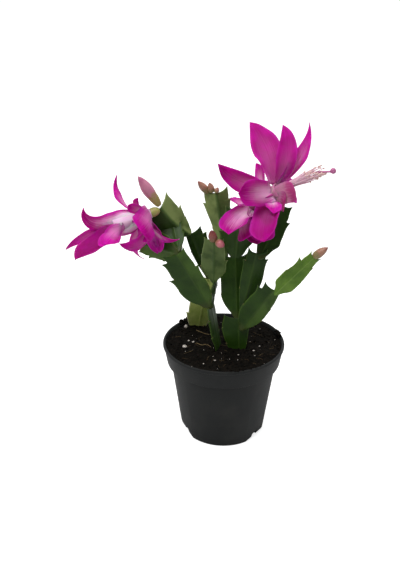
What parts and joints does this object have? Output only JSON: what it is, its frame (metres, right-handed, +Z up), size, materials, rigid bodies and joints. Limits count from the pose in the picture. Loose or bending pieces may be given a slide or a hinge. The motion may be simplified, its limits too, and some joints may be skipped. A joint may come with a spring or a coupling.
{
  "type": "potted christmas cactus",
  "caption": "Christmas cactus with flat toothed stem segments, magenta flowers and small buds, in a round tapered nursery pot filled with dark soil.",
  "frame": {"origin": "centre of the pot's resting face", "axes": "+Z up along the pot's axis; -Y is the side that the picture shows, so +X is to its right"},
  "size_m": [0.1788, 0.09, 0.2322],
  "materials": {
    "pot_plastic": "smooth satin black-grey polypropylene",
    "soil": "rough crumbly dark peat with white perlite",
    "old_stem": "waxy satin dark green, lighter along the rib and edges",
    "pale_stem": "waxy satin pale green",
    "young_stem": "waxy satin fresh green",
    "yellow_stem": "waxy satin yellow-green",
    "tepal": "soft satin magenta, near white towards the tube",
    "ovary": "waxy satin yellow-green",
    "style": "smooth rose pink",
    "stamen": "soft matt white with cream anthers",
    "pink_bud": "waxy satin pink, olive at the foot",
    "red_bud": "waxy satin brown-red",
    "rose_bud": "waxy satin rose",
    "tan_bud": "waxy satin tan"
  },
  "bodies": {
    "root": {"pot": "pot_plastic", "soil": "soil", "front_left_segment_1": "old_stem", "front_left_segment_2": "old_stem", "front_left_segment_3": "old_stem", "front_left_segment_4": "pale_stem", "front_left_segment_5": "old_stem", "front_left_segment_6": "old_stem", "rear_left_segment_1": "yellow_stem", "rear_left_segment_2": "old_stem", "rear_left_segment_3": "pale_stem", "centre_segment_1": "old_stem", "centre_segment_2": "old_stem", "centre_segment_3": "old_stem", "centre_segment_4": "pale_stem", "centre_segment_5": "pale_stem", "centre_segment_6": "old_stem", "right_segment_1": "old_stem", "right_segment_2": "young_stem", "rear_left_bud": "pink_bud", "front_left_bud_1": "red_bud", "front_left_bud_2": "rose_bud", "centre_bud_1": "tan_bud", "centre_bud_2": "tan_bud", "centre_bud_3": "tan_bud", "right_bud": "tan_bud", "left_flower_ovary": "ovary", "left_flower_style": "style", "left_flower_stamens": "stamen", "left_flower_tepals": "tepal", "right_flower_ovary": "ovary", "right_flower_style": "style", "right_flower_stamens": "stamen", "right_flower_tepals": "tepal"}
  },
  "joints": []
}
